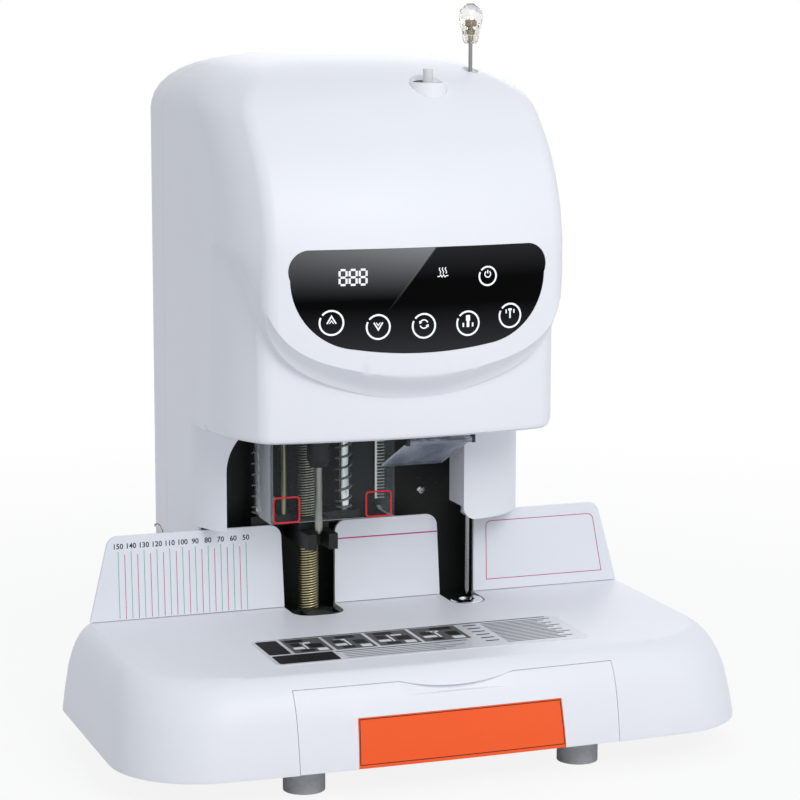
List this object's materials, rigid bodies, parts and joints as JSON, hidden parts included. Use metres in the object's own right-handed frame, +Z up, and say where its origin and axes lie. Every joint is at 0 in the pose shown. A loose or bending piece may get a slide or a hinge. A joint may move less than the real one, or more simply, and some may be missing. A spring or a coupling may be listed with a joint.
{
  "type": "document riveting machine",
  "caption": "Desktop paper drilling and riveting machine: wide tray with ruled fences and scrap drawer, rounded column head with touch panel, drill, press, guard and guide needle.",
  "frame": {"origin": "on the surface under the feet, below the middle of the bounding box", "axes": "+X to the operator's right, +Y to the back, +Z up"},
  "size_m": [0.4774, 0.366, 0.5464],
  "materials": {
    "white_plastic": "satin moulded",
    "black_glass": "high gloss",
    "dark_paint": "semi matt black",
    "bright_steel": "ground",
    "chrome": "polished",
    "thread_steel": "oiled thread",
    "aluminium": "machined",
    "brass": "machined",
    "grey_rubber": "matt",
    "black_rubber": "matt",
    "orange_plastic": "glossy label",
    "label_plastic": "printed label",
    "clear_acrylic": "clear",
    "clear_knob": "clear, faceted",
    "nylon": "translucent",
    "dark_plastic": "moulded",
    "board_green": "lacquered board",
    "red_plastic": "glossy",
    "pad_plastic": "plain"
  },
  "bodies": {
    "machine": {"base_cover": "white_plastic", "base_plate": "dark_paint", "rubber_feet": "grey_rubber", "foot_screws": "bright_steel", "paper_fences": "white_plastic", "deck_label": "label_plastic", "bed_plate": "dark_paint", "bed_posts": "bright_steel", "die_block": "dark_paint", "drill_pad": "pad_plastic", "lower_die": "chrome", "column_frame": "dark_paint", "top_plate": "dark_paint", "guide_rods": "chrome", "ram_bracket": "aluminium", "screw_bearings": "bright_steel", "gear_motors": "bright_steel", "needle_bushing": "bright_steel", "feed_port_ring": "white_plastic", "feed_tube": "nylon", "acrylic_guard": "clear_acrylic", "visor_hinge": "bright_steel", "front_cover": "white_plastic", "rear_cover": "white_plastic", "control_glass": "black_glass", "control_board": "board_green", "main_board": "board_green", "power_supply": "aluminium", "depth_strip": "bright_steel", "power_inlet": "dark_plastic", "switch_frame": "dark_plastic", "machine_screws": "bright_steel"},
    "drill_head": {"carriage_block": "dark_paint", "rod_bushings": "brass", "lift_nut": "brass", "motor_bracket": "dark_paint", "spindle_bearings": "bright_steel", "drill_motor": "bright_steel", "drive_belt": "black_rubber", "foot_springs": "bright_steel"},
    "drill_spindle": {"spindle": "bright_steel", "chuck": "dark_paint", "hollow_bit": "chrome", "spindle_pulley": "aluminium"},
    "motor_rotor": {"motor_pulley": "aluminium"},
    "lift_screw_body": {"lift_screw": "thread_steel"},
    "paper_foot": {"press_foot": "dark_paint", "foot_pin": "brass"},
    "press_head": {"press_ram": "chrome", "upper_die": "brass", "press_arm": "aluminium"},
    "press_screw_body": {"press_screw": "thread_steel"},
    "guide_needle": {"needle": "bright_steel", "needle_knob": "clear_knob"},
    "nylon_tube": {"tube_stock": "nylon"},
    "visor_flap": {"visor": "clear_acrylic"},
    "drawer": {"scrap_drawer": "white_plastic", "drawer_label": "orange_plastic"},
    "side_dial": {"side_knob": "red_plastic"},
    "power_rocker": {"switch_rocker": "dark_plastic"}
  },
  "joints": [
    {"name": "drill_lift", "type": "slide", "parent": "machine", "child": "drill_head", "axis": [0, 0, 1], "range_m": [-0.0616, 0]},
    {"name": "drill_spin", "type": "hinge", "parent": "drill_head", "child": "drill_spindle", "pos_m": [-0.0432, 0.0124, 0.3], "axis": [0, 0, 1], "continuous": true},
    {"name": "motor_spin", "type": "hinge", "parent": "drill_head", "child": "motor_rotor", "pos_m": [-0.095, 0.0124, 0.379], "axis": [0, 0, 1], "continuous": true},
    {"name": "lift_screw_turn", "type": "hinge", "parent": "machine", "child": "lift_screw_body", "pos_m": [-0.0432, 0.038, 0.26], "axis": [0, 0, 1], "range_deg": [0, 3697]},
    {"name": "foot_slide", "type": "slide", "parent": "drill_head", "child": "paper_foot", "axis": [0, 0, 1], "range_m": [0, 0.01145], "deforming": ["foot_springs"]},
    {"name": "press_lift", "type": "slide", "parent": "machine", "child": "press_head", "axis": [0, 0, 1], "range_m": [-0.067, 0]},
    {"name": "press_screw_turn", "type": "hinge", "parent": "machine", "child": "press_screw_body", "pos_m": [0.0783, 0.055, 0.35], "axis": [0, 0, 1], "range_deg": [0, 6031]},
    {"name": "needle_slide", "type": "slide", "parent": "machine", "child": "guide_needle", "axis": [0, 0, 1], "range_m": [0, 0.06]},
    {"name": "tube_slide", "type": "slide", "parent": "machine", "child": "nylon_tube", "axis": [0, 0, 1], "range_m": [0, 0.08]},
    {"name": "visor_hinge_turn", "type": "hinge", "parent": "machine", "child": "visor_flap", "pos_m": [0.02575, -0.065, 0.229], "axis": [1, 0, 0], "range_deg": [-65, 0]},
    {"name": "drawer_slide", "type": "slide", "parent": "machine", "child": "drawer", "axis": [0, -1, 0], "range_m": [0, 0.14]},
    {"name": "side_dial_turn", "type": "hinge", "parent": "machine", "child": "side_dial", "pos_m": [-0.136, 0.15, 0.11], "axis": [-1, 0, 0], "range_deg": [-150, 150]},
    {"name": "switch_rock", "type": "hinge", "parent": "machine", "child": "power_rocker", "pos_m": [-0.025, 0.1785, 0.062], "axis": [1, 0, 0], "range_deg": [-16, 0]}
  ],
  "couplings": [
    {"joint": "motor_spin", "follows": "drill_spin", "ratio": 1.5714},
    {"joint": "lift_screw_turn", "follows": "drill_lift", "rad_per_m": -1047.2},
    {"joint": "foot_slide", "follows": "drill_lift", "ratio": -0.18507},
    {"joint": "press_screw_turn", "follows": "press_lift", "rad_per_m": -1570.8}
  ]
}
